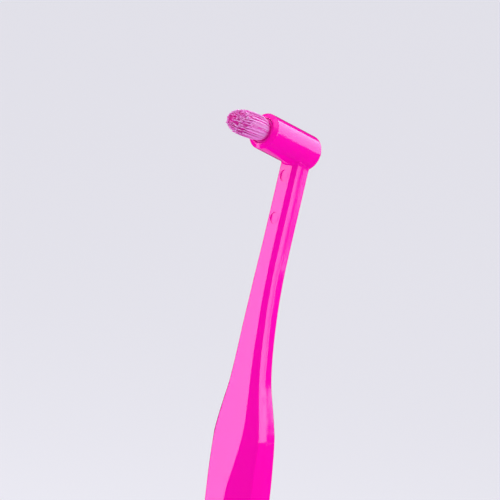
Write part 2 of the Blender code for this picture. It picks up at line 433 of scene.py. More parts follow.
@dataclass(frozen=True)
class PlasticFinish(Finish):
    """Hot pink, glossy, slightly see-through moulded plastic."""

    slot: Slot = Slot.PLASTIC
    colour: tuple = (1.0, 0.001, 0.465)
    deep_colour: tuple = (0.96, 0.001, 0.415)
    roughness: tuple = (0.06, 0.11)
    scales: tuple = (160.0, 2600.0)
    cloud_weight: float = 0.7
    bump_share: float = 0.5
    bump_height: float = 0.004 * MM
    plain: tuple = (
        ("Specular IOR Level", 0.5),
        ("Specular Tint", (1.0, 0.72, 1.0)),
        ("Subsurface Weight", 0.12),
        ("Subsurface Radius", (1.0, 0.1, 0.5)),
        ("Subsurface Scale", 0.6 * MM),
    )


@dataclass(frozen=True)
class FilamentFinish(Finish):
    """Fine nylon filament, each strand a little lighter or darker, with painted shade deeper inside
    the bundle and down in the hole.
    """

    slot: Slot = Slot.FILAMENT
    colour: tuple = (1.0, 0.50, 0.95)
    deep_colour: tuple = (0.82, 0.085, 0.58)
    shade_colour: tuple = (0.90, 0.004, 0.47)
    roughness: tuple = (0.30, 0.45)
    scales: tuple = (900.0, 9000.0)
    cloud_weight: float = 0.4
    bump_share: float = 0.4
    bump_height: float = 0.003 * MM
    plain: tuple = (
        ("Subsurface Weight", 0.25),
        ("Subsurface Radius", (1.0, 0.5, 0.8)),
        ("Subsurface Scale", 0.25 * MM),
    )

    def base_colour(self, shader: Shader, cloud: NodeSocket) -> NodeSocket:
        """Mixes the two tones by each strand's own tone, and then the colour of the shade."""
        tone, shade_share = (
            shader.node("Attribute", attribute_name=name).outputs["Fac"]
            for name in (FilamentTuft.TONE, FilamentTuft.SHADE)
        )
        strand = shader.blend(tone, self.deep_colour, self.colour)
        # Painted shade: the shade attribute mixes in a deep pink that stands for the shade inside
        # the bundle and the barrel's glow in the hole.
        return shader.blend(shade_share, strand, self.shade_colour)


@dataclass(frozen=True)
class MetalFinish(Finish):
    """Bare nickel silver strip, rolled, so its grain runs along the strip."""

    slot: Slot = Slot.METAL
    colour: tuple = (0.72, 0.68, 0.60)
    deep_colour: tuple = (0.58, 0.54, 0.47)
    roughness: tuple = (0.25, 0.50)
    scales: tuple = (1500.0, 14000.0)
    grain_stretch: tuple = (0.06, 1.0, 1.0)
    cloud_weight: float = 0.3
    bump_share: float = 0.5
    bump_height: float = 0.002 * MM
    plain: tuple = (("Metallic", 1.0),)

    def coordinates(self, shader: Shader) -> NodeSocket:
        """Draws the Object coordinates out along the strip."""
        inputs = {"Vector": super().coordinates(shader), "Scale": self.grain_stretch}
        return shader.node("Mapping", inputs).outputs["Vector"]


# The toothbrush


@dataclass
class SurfacePlace:
    """A place on the handle with its own directions: out of the surface, up the neck and across.

    It lies a distance out of a point on the neck's centreline, and its way out is raised from
    level by the lean.
    """

    centre: ndarray
    lean: float
    distance: float

    def __post_init__(self) -> None:
        """Works out the directions and the origin."""
        self.out = np.array([0.0, -math.cos(self.lean), math.sin(self.lean)])
        self.up = np.array([0.0, math.sin(self.lean), math.cos(self.lean)])
        self.origin = self.centre + self.out * self.distance

    def world(self, across: ndarray, up: ndarray, out: ndarray) -> ndarray:
        """Gives the points origin + across X + up U + out O, with U and O its up and out."""
        parts = zip(np.broadcast_arrays(across, up, out), (ACROSS, self.up, self.out))
        return self.origin + sum(part[..., None] * axis for part, axis in parts)

    def turned_object(self, name: str, profile: ndarray, sides: int) -> Object:
        """Turns a profile round the way out, and closes it on that axis at both ends.

        Args:
            name: the object's name.
            profile: the radius and the distance out of the origin, one row each.
            sides: the number of points round each ring.

        Returns:
            The shape.
        """
        angle, radius, out = ring_angles(sides), profile[:, :1], profile[:, 1:]
        rings = self.world(radius * np.cos(angle), radius * np.sin(angle), out)
        ends = self.world(np.zeros(2), np.zeros(2), profile[[0, -1], 1])
        return mesh_object(name, *closed_loft(rings, ends))

    def around_anchor(self, name: str, gaps: tuple, stretch: float = 1.0) -> Object:
        """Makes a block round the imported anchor, which cuts the room for it.

        Args:
            name: the object's name.
            gaps: the gap round the anchor across, up and out.
            stretch: how many times as long as the anchor the block is across the barrel.

        Returns:
            The block.
        """
        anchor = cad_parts["tuft_anchor"].data
        points = np.empty(len(anchor.vertices) * 3, np.float32)
        anchor.vertices.foreach_get("co", points)
        from_origin = points.reshape(-1, 3) - self.origin
        spans = [from_origin @ axis for axis in (ACROSS, self.up, self.out)]
        sizes = (float(np.ptp(span)) * part for span, part in zip(spans, (stretch, 1, 1)))
        wide, high, deep = (size + 2 * gap for size, gap in zip(sizes, gaps))
        across, up = np.array([-1, 1, 1, -1]) * wide / 2, np.array([-1, -1, 1, 1]) * high / 2
        middle = float(spans[2].max() + spans[2].min()) / 2
        out = middle + np.array([[-1.0], [1.0]]) * deep / 2
        return mesh_object(name, *closed_loft(self.world(across, up, out)))


def octagon_cut(flats: float) -> float:
    """Gives the corner cut that makes a square of that width a regular octagon."""
    return flats * (1 - math.tan(math.pi / 8)) / 2


@dataclass
class HandleMoulding:
    """The one-piece handle: an eight-sided grip, a bent neck and a short barrel with the tuft hole.

    The section's shares say how far it is on the way from the neck's size to the grip's: in width,
    depth and corner cut at each share of the neck's length.
    """

    grip_length: float = 111.0 * MM
    butt_taper_height: float = 1.4 * MM
    butt_taper_inset: float = 0.8 * MM
    butt_radius: float = 0.35 * MM
    grip_edge_radius: float = 0.30 * MM
    neck_length: float = 49.2 * MM
    neck_flats: float = 3.3 * MM
    neck_corner_cut: float = 0.52 * MM
    neck_edge_radius: float = 0.22 * MM
    bend_start: float = 13.5 * MM
    bend_radius: float = 120.0 * MM
    bend_angle: float = math.radians(9.6)
    section_shares: tuple = (
        (0.000, 1.000, 1.000, 1.000), (0.061, 1.000, 0.925, 0.905), (0.102, 1.000, 0.795, 0.760),
        (0.142, 1.000, 0.680, 0.650), (0.182, 0.990, 0.565, 0.550), (0.225, 0.875, 0.430, 0.410),
        (0.275, 0.690, 0.297, 0.290), (0.340, 0.440, 0.150, 0.160), (0.420, 0.270, 0.075, 0.090),
        (0.500, 0.165, 0.030, 0.045), (0.585, 0.075, 0.005, 0.015), (0.680, 0.015, 0.000, 0.000),
        (0.760, 0.000, 0.000, 0.000), (1.000, 0.000, 0.000, 0.000),
    )
    parting_draft: float = math.tan(math.radians(2.3))
    parting_crown: float = 0.35 * MM
    parting_height: float = 0.015 * MM
    parting_width: float = 0.06 * MM
    parting_wander: float = 0.10 * MM
    parting_waves: tuple = ((0.6, 2.6 * MM, 0.0), (0.4, 1.1 * MM, 1.0))
    dent_depth: float = 0.038 * MM
    dent_width: float = 0.12 * MM
    dent_offset: float = 0.11 * MM
    dent_start: float = 33.5 * MM
    dent_full: float = 35.5 * MM
    flat_shares: tuple = (
        0.05, 0.2, 0.33, 0.38, 0.42, 0.45, 0.48, 0.51, 0.54,
        0.57, 0.6, 0.63, 0.66, 0.7, 0.75, 0.8, 0.88, 0.95,
    )
    corner_steps: int = 5
    neck_rings_below_grip_top: float = 3.0 * MM
    junction_rings_below_top: float = 3.6 * MM
    last_ring_below_top: float = 0.9 * MM
    ring_counts: tuple = (40, 150, 42)  # along the grip, the neck and the junction
    barrel_diameter: float = 5.1 * MM
    barrel_length: float = 10.27 * MM
    barrel_rear_overhang: float = 2.16 * MM
    barrel_tilt: float = math.radians(10.9)
    barrel_rear_radius: float = 0.70 * MM
    barrel_pole_share: float = 0.02
    barrel_steps: tuple = (3, 6, 8, 12)  # in the bends of the hole's floor, mouth, rim and rear
    rim_fall: float = 0.50 * MM
    rim_radius: float = 0.18 * MM
    hole_edge_radius: float = 0.18 * MM
    hole_diameter: float = 3.5 * MM
    hole_depth: float = 5.3 * MM
    straight_margin: float = 0.05 * MM
    barrel_sides: int = 160
    junction_radius: float = 0.30 * MM
    anchor_clearance: float = 0.05 * MM
    mark_diameter: float = 1.6 * MM
    mark_depth: float = 0.12 * MM
    mark_profile: tuple = ((0.86, 0.0), (0.96, 0.12), (1.0, 0.5), (1.0, 6.0))  # of radius, depth
    mark_below_barrel: float = 1.35 * MM
    mark_pitch: float = 5.9 * MM
    mark_count: int = 2
    mark_sides: int = 64
    crease: float = math.radians(28.0)

    def __post_init__(self) -> None:
        """Takes the grip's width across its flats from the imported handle."""
        low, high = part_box("handle")
        self.grip_flats = high.x - low.x

    def centreline(self, rise: ndarray) -> tuple[ndarray, ndarray]:
        """Follows the centreline, which is straight, then an arc that leans back, then straight.

        Past the arc's start the lean is the distance along it over its radius, up to the bend's
        angle. The place is the sum of the straight start, the arc's chord and the straight end.

        Args:
            rise: distances above the grip's top, negative inside the grip.

        Returns:
            The centres, one row each, and the lean at each in radians.
        """
        lean = np.clip((rise - self.bend_start) / self.bend_radius, 0, self.bend_angle)
        start = self.grip_length + np.minimum(rise, self.bend_start)
        end = np.maximum(rise - self.bend_start - self.bend_radius * self.bend_angle, 0)
        back = self.bend_radius * (1 - np.cos(lean)) + end * math.sin(self.bend_angle)
        climb = start + self.bend_radius * np.sin(lean) + end * math.cos(self.bend_angle)
        return np.stack((np.zeros_like(rise), back, climb), axis=-1), lean

    def place_on_neck(self, rise: float, tilt: float, distance: float) -> SurfacePlace:
        """Finds the place a distance out of the centreline, facing out at the lean plus a tilt."""
        centre, lean = self.centreline(np.array([rise]))
        return SurfacePlace(centre[0], float(lean[0]) + tilt, distance)

    def barrel_place(self) -> SurfacePlace:
        """Places the barrel's mouth at the neck's top, square to the neck but for its tilt."""
        distance = self.barrel_length - self.barrel_rear_overhang
        return self.place_on_neck(self.neck_length, self.barrel_tilt, distance)

    def section_sizes(self, rise: ndarray) -> ndarray:
        """Reads the section's width, depth, corner cut and edge radius from the table of shares.

        Args:
            rise: distances above the grip's top.

        Returns:
            Four columns, one row for each place.
        """
        place = np.clip(rise / self.neck_length, 0, 1)
        shares = monotone_curve(np.array(self.section_shares), place)
        shares = np.concatenate((shares, shares[:, 2:]), axis=1)
        neck, grip = np.array([
            (self.neck_flats, self.neck_flats, self.neck_corner_cut, self.neck_edge_radius),
            (self.grip_flats, self.grip_flats, octagon_cut(self.grip_flats), self.grip_edge_radius),
        ])
        return neck + (grip - neck) * shares

    def section(self, sizes: ndarray, rise: ndarray) -> ndarray:
        """Draws a rectangle with cut corners, rounded edges and a parting line on both sides.

        Each corner P is rounded by (1-s)^2 A + 2s(1-s) P + s^2 B. Then x shrinks by its share of
        the half width times draft (sqrt((y - p)^2 + v^2) - v) + ridge (1 - exp(-((y - p)/w)^2)), so
        both sides curve away from the line at y = p, which wanders as a sum of two sines. Behind it
        a dent, as deep as d exp(-((y - p - o)/e)^2), runs up from the neck's middle.

        Args:
            sizes: width, depth, corner cut and edge radius, one row for each ring.
            rise: the distance of each ring above the grip's top.

        Returns:
            The outlines, as ring by point by x and y.
        """
        x, y, c, radius = (sizes * (0.5, 0.5, 1, 1)).T
        corners = (
            (x, y - c), (x - c, y), (c - x, y), (-x, y - c),
            (-x, c - y), (c - x, -y), (x - c, -y), (x, c - y),
        )
        corners = np.stack([np.stack(pair, axis=-1) for pair in corners], axis=1)
        back, ahead = (unit(np.roll(corners, way, axis=1) - corners) for way in (1, -1))
        reach = (radius * math.tan(math.pi / 8))[:, None, None]
        a, b = corners + back * reach, corners + ahead * reach
        s = np.linspace(0, 1, self.corner_steps + 1)[:, None]
        curves = (1 - s) ** 2 * a[:, :, None] + 2 * s * (1 - s) * corners[:, :, None]
        curves += s**2 * b[:, :, None]
        t = np.array(self.flat_shares)[:, None]
        flats = b[:, :, None] + t * (np.roll(a, -1, axis=1) - b)[:, :, None]
        outline = np.concatenate((curves, flats), axis=2).reshape(len(sizes), -1, 2)
        waves = (part * np.sin(rise / wave + phase) for part, wave, phase in self.parting_waves)
        aside = outline[..., 1] - (self.parting_wander * sum(waves))[:, None]
        fall = self.parting_draft * (np.hypot(aside, self.parting_crown) - self.parting_crown)
        fall += self.parting_height * (1 - np.exp(-((aside / self.parting_width) ** 2)))
        dent = self.dent_depth * smooth_step(rise, self.dent_start, self.dent_full)
        fall += dent[:, None] * np.exp(-(((aside - self.dent_offset) / self.dent_width) ** 2))
        outline[..., 0] -= outline[..., 0] / x[:, None] * fall
        return outline

    def ring_places(self) -> tuple[ndarray, ndarray]:
        """Chooses where the rings lie: closer at the butt, along the bend and under the barrel.

        Returns:
            The distances above the grip's top, and how far the butt's taper draws in each ring.
        """
        height, inset = self.butt_taper_height, self.butt_taper_inset
        # The line runs on past both ends of the taper, so that both its corners are rounded.
        line = np.array([(0.0, 3 * inset), (0.0, inset), (height, 0.0), (3 * height, 0.0)])
        butt = rounded_outline(line, self.butt_radius, self.corner_steps)[1:]
        top = self.grip_length + self.neck_length
        stops = (
            butt[-1, 0],
            self.grip_length - self.neck_rings_below_grip_top,
            top - self.junction_rings_below_top,
            top - self.last_ring_below_top,
        )
        runs = zip(stops, stops[1:], self.ring_counts)
        rings = [np.linspace(low, high, count)[1:] for low, high, count in runs]
        height_up = np.concatenate((butt[:, 0], *rings))
        drawn_in = np.concatenate((butt[:, 1], np.zeros(len(height_up) - len(butt))))
        return height_up - self.grip_length, drawn_in

    def flare(self, outline: ndarray, points: ndarray) -> ndarray:
        """Widens the neck where it meets the barrel, so that the two run into each other.

        With g the gap to the barrel's surface and r the junction's radius, the outline moves out by
        r - sqrt(r^2 - (r - g)^2) for g between 0 and r, and by r inside the barrel. The move fades
        to nothing towards the back, where the barrel's own end is near.

        Args:
            outline: the outlines, as ring by point by x and y.
            points: where those outline points lie in the row frame.

        Returns:
            The widened outlines.
        """
        place = self.barrel_place()
        from_mouth = points - place.origin
        radial = np.hypot(from_mouth @ ACROSS, from_mouth @ place.up)
        r = self.junction_radius
        gap = np.clip(radial - self.barrel_diameter / 2, 0, r)
        move = r - np.sqrt(np.clip(r**2 - (r - gap) ** 2, 0, None))
        along = np.roll(outline, -1, axis=1) - np.roll(outline, 1, axis=1)
        outward = unit(np.stack((along[..., 1], -along[..., 0]), axis=-1))
        fade = np.clip(0.5 - outline[..., 1] / self.neck_flats, 0, 1)
        return outline + outward * (move * fade)[..., None]

    def lay_out(self, outline: ndarray, rise: ndarray) -> ndarray:
        """Puts outlines on the centreline: x stays level, and y follows the lean.

        Args:
            outline: the outlines, as ring by point by x and y.
            rise: the distance of each ring above the grip's top.

        Returns:
            The points in the row frame.
        """
        centre, lean = self.centreline(rise)
        back = np.stack((np.zeros_like(lean), np.cos(lean), -np.sin(lean)), axis=-1)
        return centre[:, None] + outline[..., :1] * ACROSS + outline[..., 1:] * back[:, None]

    def build_shaft(self) -> Object:
        """Lofts the grip and the neck as one closed surface."""
        rise, drawn_in = self.ring_places()
        sizes = self.section_sizes(rise)
        tapered = drawn_in > 0
        flats = sizes[tapered, 0] - 2 * drawn_in[tapered]
        sizes[tapered, :3] = flats[:, None] * (1, 1, octagon_cut(1.0))
        outline = self.section(sizes, rise)
        outline = self.flare(outline, self.lay_out(outline, rise))
        return mesh_object("handle_moulding", *closed_loft(self.lay_out(outline, rise)))

    def build_barrel(self) -> Object:
        """Turns the barrel, its rim and its hole from a profile of radius and distance out."""
        outer, length = self.barrel_diameter / 2, self.barrel_length
        hole, depth = self.hole_diameter / 2, self.hole_depth
        pole = hole * self.barrel_pole_share
        slope = ((outer + hole) / 2, -self.rim_fall / 2)
        lines = np.array((
            ((pole, -depth), (hole, -depth), (hole, -depth / 2)),
            ((hole, -depth / 2), (hole, 0.0), slope),
            (slope, (outer, -self.rim_fall), (outer, -length / 3)),
            ((outer, -length / 2), (outer, -length), (pole, -length)),
        ))
        edge = self.hole_edge_radius
        radii = (edge, edge, self.rim_radius, self.barrel_rear_radius)
        arcs = map(rounded_outline, lines, radii, self.barrel_steps)
        profile = hold_straights(np.concatenate(list(arcs)), self.straight_margin)
        return self.barrel_place().turned_object("barrel_blank", profile, self.barrel_sides)

    def build_mark(self, number: int) -> Object:
        """Makes the short cutter that sinks one ejector mark into the neck's front face.

        Args:
            number: 0 for the mark nearest the barrel.

        Returns:
            The cutter.
        """
        below = self.barrel_diameter / 2 + self.mark_below_barrel + self.mark_pitch * number
        rise = self.neck_length - below
        face = float(self.section_sizes(np.array([rise]))[0, 1]) / 2
        mark = self.place_on_neck(rise, 0.0, face - self.mark_depth)
        profile = np.array(self.mark_profile) * (self.mark_diameter / 2, self.mark_depth)
        return mark.turned_object(f"mark_cutter_{number}", profile, self.mark_sides)

    def build(self, material: Material) -> Object:
        """Builds the moulding and dresses it.

        Args:
            material: the plastic.

        Returns:
            The finished piece.
        """
        handle = self.build_shaft()
        combine(handle, self.build_barrel(), "UNION")
        for number in range(self.mark_count):
            combine(handle, self.build_mark(number), "DIFFERENCE")
        gaps = (self.anchor_clearance,) * 3
        combine(handle, self.barrel_place().around_anchor("anchor_pocket", gaps), "DIFFERENCE")
        handle.data.shade_smooth()
        handle.data.set_sharp_from_angle(angle=self.crease)
        dress(handle, material)
        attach(handle, "root")
        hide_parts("handle")
        return handle


@dataclass
class FilamentTuft:
    """The bundle of filaments, packed in the hole, leaning to the handle and trimmed to a dome."""

    TONE = "strand_tone"
    SHADE = "strand_shade"

    strand_count: int = 500
    strand_radius: float = 0.073 * MM
    strand_sides: int = 6
    strand_taper: tuple = (1.0, 1.0, 1.0, 1.0, 0.97, 0.92, 0.89, 0.85, 0.75, 0.40)
    strand_rings: tuple = (0.0, 0.15, 0.22, 0.42, 0.62, 0.82, 0.93, 0.955, 0.98, 1.0)
    strand_start: float = -0.8 * MM
    tip_share: float = 0.25
    end_start: float = 0.95
    clump_count: int = 64
    clump_turn_spread: float = 0.12
    clump_pull: float = 0.16
    clump_length_spread: float = 0.04 * MM
    clump_tone_spread: float = 0.04
    mean_tone: float = 0.55
    tone_spread: float = 0.15
    end_tone_spread: float = 0.40
    bundle_radius: float = 1.50 * MM
    lift: float = -0.05 * MM
    swell: float = 0.13 * MM
    lean: float = math.tan(math.radians(5.3))
    splay_share: float = 0.245
    splay_height: float = 0.8 * MM
    shoulder: float = 2.7 * MM
    reach: float = 6.50 * MM
    dome_power: float = 2.1
    length_spread: float = 0.045 * MM
    shortening: float = 0.65 * MM
    shortened_share: float = 0.30
    flank_start: float = 0.72
    flank_shortened_share: float = 0.65
    skin_start: float = 0.93
    skin_shortening_share: float = 0.5
    middle_fall: float = 0.35 * MM
    middle_share: float = 0.20
    wander: float = 0.055 * MM
    wander_growth: float = 3.0
    scatter: float = 0.035 * MM
    curl: float = 0.05 * MM
    core_gap: float = 0.5 * MM
    core_share: float = 0.90
    core_top_share: float = 0.08
    core_rim_share: float = 0.999
    core_sides: int = 48
    core_rings: tuple = (4, 14)  # up its side and over its top
    root_clearance: float = 0.05 * MM
    root_recess: float = 0.30 * MM
    anchor_slot_stretch: float = 1.2
    shade_start: float = 0.30 * MM
    shade_full: float = 0.02 * MM
    depth_start: float = 0.06 * MM
    depth_full: float = 0.22 * MM
    least_surface_share: float = 0.1
    side_level: float = 0.15
    end_level: float = 0.80
    level_change: float = 0.40 * MM
    seed: int = 7

    def set_attributes(self, mesh: Mesh, tone: ndarray, shade: ndarray) -> None:
        """Stores each vertex's lightness, and how deep it lies in the shade.

        Args:
            mesh: the mesh that gets the attributes.
            tone: the lightness of each vertex.
            shade: 0 in the light, 1 where only the barrel's pink glow reaches.
        """
        for name, values in ((self.TONE, tone), (self.SHADE, shade)):
            stored = mesh.attributes.new(name, "FLOAT", "POINT")
            stored.data.foreach_set("value", values.ravel().astype(np.float32))

    def dome(self, share: ndarray) -> ndarray:
        """Gives the trimmed height shoulder + (reach - shoulder) (1 - s^p)^(1/p) at a share s."""
        curve = (1 - np.clip(share, 0, 1) ** self.dome_power) ** (1 / self.dome_power)
        return self.shoulder + (self.reach - self.shoulder) * curve

    def bundle_shape(self, out: ndarray) -> tuple[ndarray, ndarray]:
        """Works out the bundle's radius and how far up the neck its middle lies.

        At height h the splay g is 1 - exp(-h / splay height). The radius has grown by the splay's
        share times g, and the middle has moved up by swell g and down by lean h.

        Args:
            out: heights out of the mouth.

        Returns:
            The radii and the middles.
        """
        above = np.clip(out, 0, None)
        splay = 1 - np.exp(-above / self.splay_height)
        middle = self.lift + self.swell * splay - self.lean * above
        return self.bundle_radius * (1 + self.splay_share * splay), middle

    def bundle_point(self, share: ndarray, angle: ndarray, out: ndarray) -> tuple[ndarray, ndarray]:
        """Places a point across and up by its share of the radius, its angle and its height."""
        width, middle = self.bundle_shape(out)
        return width * share * np.cos(angle), width * share * np.sin(angle) + middle

    def trimmed_heights(self, share: ndarray, random: np.random.Generator) -> ndarray:
        """Cuts the strands along the dome, some of them shorter, and lower round the middle.

        Args:
            share: each strand's share of the bundle's radius.
            random: the source of the small differences.

        Returns:
            The height out of the mouth at which each strand ends.
        """
        count = len(share)
        tip = random.normal(0, self.length_spread, count)
        chance = np.where(
            share > self.flank_start, self.flank_shortened_share, self.shortened_share
        )
        amount = self.shortening * np.where(share > self.skin_start, self.skin_shortening_share, 1)
        tip -= amount * random.random(count) * (random.random(count) < chance)
        tip -= self.middle_fall * np.exp(-((share / self.middle_share) ** 2))
        return tip + self.dome(share)

    def strand_axes(self, random: np.random.Generator) -> tuple[ndarray, ndarray]:
        """Works out each strand's axis.

        Strand n of N starts at sqrt((n + 1/2) / N) of the bundle's radius and n golden angles
        round, scattered a little. Every strand belongs to the nearest of a few clumps, which are
        spread in the same way, and moves towards its clump's own axis by the pull times
        (h / reach)^2 at height h. It also bends by curl (h / reach)^2, and its trimmed end is
        lighter or darker than its side.

        Args:
            random: the source of the small differences.

        Returns:
            The axes, as strand by ring by across, up and out, and the lightness of each ring.
        """
        golden = math.pi * (3 - math.sqrt(5))
        count, clumps = self.strand_count, self.clump_count
        number, clump = np.arange(count), np.arange(clumps)
        regular = np.sqrt((number + 0.5) / count) * np.exp(1j * number * golden)
        loose = random.normal(0, self.scatter / self.bundle_radius, (2, count))
        scattered = regular + loose[0] + 1j * loose[1]
        share = np.minimum(np.abs(scattered), 1) * (1 - self.strand_radius / self.bundle_radius)
        angle = np.angle(scattered)
        clump_share = np.sqrt((clump + 0.5) / clumps)
        clump_angle = clump * golden + random.normal(0, self.clump_turn_spread, clumps)
        clump_spot = clump_share * np.exp(1j * clump_angle)
        own = np.abs((share * np.exp(1j * angle))[:, None] - clump_spot).argmin(axis=1)
        clump_length = random.normal(0, self.clump_length_spread, clumps)
        clump_tone = random.normal(0, self.clump_tone_spread, clumps)
        tip = self.trimmed_heights(share, random) + clump_length[own]
        along = np.array(self.strand_rings)
        out = self.strand_start + along * (tip - self.strand_start)[:, None]
        rise = np.clip(out, 0, None) / self.reach
        free = np.stack(self.bundle_point(share[:, None], angle[:, None], out))
        held = self.bundle_point(clump_share[own][:, None], clump_angle[own][:, None], out)
        bend = random.normal(0, self.curl, (2, count, 1)) * rise**2
        growth = np.clip(rise * self.wander_growth, 0, 1)
        stray = random.normal(0, self.wander, (2, count, 1)) * growth
        across, up = free + (held - free) * (self.clump_pull * rise**2) + bend + stray
        tone = self.mean_tone + clump_tone[own] + random.normal(0, self.tone_spread, count)
        end = random.normal(0, self.end_tone_spread, count)[:, None] * (along > self.end_start)
        return np.stack((across, up, out), axis=-1), np.clip(tone[:, None] + end, 0, 1)

    def shade_share(self, across: ndarray, up: ndarray, out: ndarray) -> ndarray:
        """Works out how deep points of the bundle lie in the shade.

        With s the point's share of the bundle's radius R and t its share of the way from the
        shoulder to the top, q = (s^p + t^p)^(1/p) is 1 on the bundle's surface. The depth below
        that is (1 - q) over the size of q's gradient. The shade rises with the depth on a smooth
        step, up to a level that is higher among the trimmed ends than at the side. It also rises
        to 1 from above the mouth down into the hole.

        Args:
            across: distances along X.
            up: distances up the neck.
            out: heights out of the mouth.

        Returns:
            The shade, from 0 in the light to 1.
        """
        width, middle = self.bundle_shape(out)
        s, p = np.hypot(across, up - middle) / width, self.dome_power
        rounded = self.reach - self.shoulder
        t = np.clip((out - self.shoulder) / rounded, 0, None)
        q = np.maximum((s**p + t**p) ** (1 / p), self.least_surface_share)
        gradient = np.hypot(s ** (p - 1) / width, t ** (p - 1) / rounded) * q ** (1 - p)
        depth = (1 - q) / np.maximum(gradient, 1 / self.reach)
        change = self.level_change
        ends = smooth_step(out, self.shoulder - change, self.shoulder + change)
        level = self.side_level + (self.end_level - self.side_level) * ends
        deep = level * smooth_step(depth, self.depth_start, self.depth_full)
        return np.maximum(deep, 1 - smooth_step(out, self.shade_full, self.shade_start))

    def build_strands(self, place: SurfacePlace) -> Object:
        """Skins all the strands: tubes of a few sides whose radius narrows to a round end.

        Args:
            place: the barrel's mouth.

        Returns:
            The strands as one object.
        """
        axes, tone = self.strand_axes(np.random.default_rng(self.seed))
        strands, rings, _ = axes.shape
        angle = ring_angles(self.strand_sides)
        radius = self.strand_radius * np.array(self.strand_taper)[:, None]
        across, up = axes[..., :1] + radius * np.cos(angle), axes[..., 1:2] + radius * np.sin(angle)
        out = np.broadcast_to(axes[..., 2:], across.shape)
        skins = place.world(across, up, out).reshape(strands, -1, 3)
        shade = self.shade_share(across, up, out).reshape(strands, -1)
        ends = axes[:, [0, -1]]
        ends[:, 1, 2] += self.strand_radius * self.tip_share
        ends = place.world(*np.moveaxis(ends, -1, 0))
        one_points, one_quads = closed_loft(skins[0].reshape(rings, -1, 3), ends[0])
        points = np.concatenate((skins, ends), axis=1)
        quads = one_quads + (np.arange(strands) * len(one_points))[:, None, None]
        tuft = mesh_object("tuft", points.reshape(-1, 3), quads.reshape(-1, 4))
        tones = np.repeat(tone, self.strand_sides, axis=1)
        self.set_attributes(
            tuft.data,
            np.concatenate((tones, tones[:, [0, -1]]), axis=1),
            np.concatenate((shade, shade[:, [0, -1]]), axis=1),
        )
        tuft.data.shade_smooth()
        return tuft

    def build_core(self, handle: HandleMoulding) -> Object:
        """Makes the close-packed inside of the bundle, with its root and a slot for the anchor.

        It follows the bundle, a little narrower, and ends a gap below the trimmed dome.

        Args:
            handle: the handle whose barrel holds the tuft.

        Returns:
            The core.
        """
        place = handle.barrel_place()
        radius = handle.hole_diameter / 2 - self.root_clearance
        floor = -handle.hole_depth + self.root_clearance
        angle = ring_angles(self.core_sides)
        plug_out = np.array([[floor], [-self.root_recess]])
        plug = place.world(radius * np.cos(angle), radius * np.sin(angle), plug_out)
        sides, top = self.core_rings
        narrowing = np.linspace(self.core_share, self.core_top_share, top)
        share = np.concatenate((np.full(sides, self.core_share), narrowing))
        out = self.dome(share / self.core_share * self.core_rim_share) - self.core_gap
        out[:sides] = np.linspace(-self.root_recess, out[sides], sides + 1)[:sides]
        bundle = place.world(*self.bundle_point(share[:, None], angle, out[:, None]), out[:, None])
        core = mesh_object("tuft_core", *closed_loft(np.concatenate((plug, bundle))))
        gaps = (0.0, handle.anchor_clearance, handle.anchor_clearance)
        slot = place.around_anchor("anchor_slot", gaps, self.anchor_slot_stretch)
        combine(core, slot, "DIFFERENCE")
        count = len(core.data.vertices)
        # The core stands for the close-packed inner strands and is painted all in shade.
        self.set_attributes(core.data, np.zeros(count), np.ones(count))
        return core

    def build(self, handle: HandleMoulding, material: Material) -> Object:
        """Builds the tuft as one piece and dresses it.

        Args:
            handle: the handle whose barrel holds the tuft.
            material: the filament.

        Returns:
            The finished piece.
        """
        tuft = self.build_strands(handle.barrel_place())
        core = self.build_core(handle)
        bpy.ops.object.select_all(action="DESELECT")
        for part in (core, tuft):
            part.select_set(True)
        bpy.context.view_layer.objects.active = tuft
        bpy.ops.object.join()
        dress(tuft, material)
        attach(tuft, "root")
        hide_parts("filament_tuft")
        return tuft


# The studio


@dataclass
class Camera:
    """A long lens in front of the brush's right, a little above it, held at a slight tilt."""

    azimuth: float = math.radians(44.54)
    elevation: float = math.radians(8.55)
    roll: float = math.radians(6.47)
    distance: float = 900.0 * MM
    aim: tuple = (0.0, 4.0 * MM, 150.0 * MM)
    aim_pixel: tuple = (289.4, 220.9)
    pixels_per_metre: float = 7337.0
    image_pixels: int = 500
    sensor: float = 36.0
    nearest: float = 10.0 * MM
    farthest: float = 50.0

    def build(self) -> Object:
        """Places the camera so that the aim point falls on its pixel, without any lens shift."""
        sin_a, cos_a = math.sin(self.azimuth), math.cos(self.azimuth)
        sin_e, cos_e = math.sin(self.elevation), math.cos(self.elevation)
        towards = Vector((sin_a * cos_e, -cos_a * cos_e, sin_e))
        right = Vector((cos_a, sin_a, 0.0))
        up = towards.cross(right)
        image_right = right * math.cos(self.roll) + up * math.sin(self.roll)
        image_up = up * math.cos(self.roll) - right * math.sin(self.roll)
        aim, half = Vector(self.aim), self.image_pixels / 2
        middle = aim + image_right * (half - self.aim_pixel[0]) / self.pixels_per_metre
        middle -= image_up * (half - self.aim_pixel[1]) / self.pixels_per_metre
        location = aim + towards * self.distance
        back = (location - middle).normalized()
        side = image_up.cross(back).normalized()
        lens = bpy.data.cameras.new("camera")
        lens.sensor_width = self.sensor
        lens.lens = self.pixels_per_metre * self.distance * self.sensor / self.image_pixels
        lens.clip_start, lens.clip_end = self.nearest, self.farthest
        camera = bpy.data.objects.new("camera", lens)
        turn = Matrix((side, back.cross(side), back)).transposed().to_4x4()
        camera.matrix_world = Matrix.Translation(location) @ turn
        bpy.context.scene.collection.objects.link(camera)
        bpy.context.scene.camera = camera
        return camera


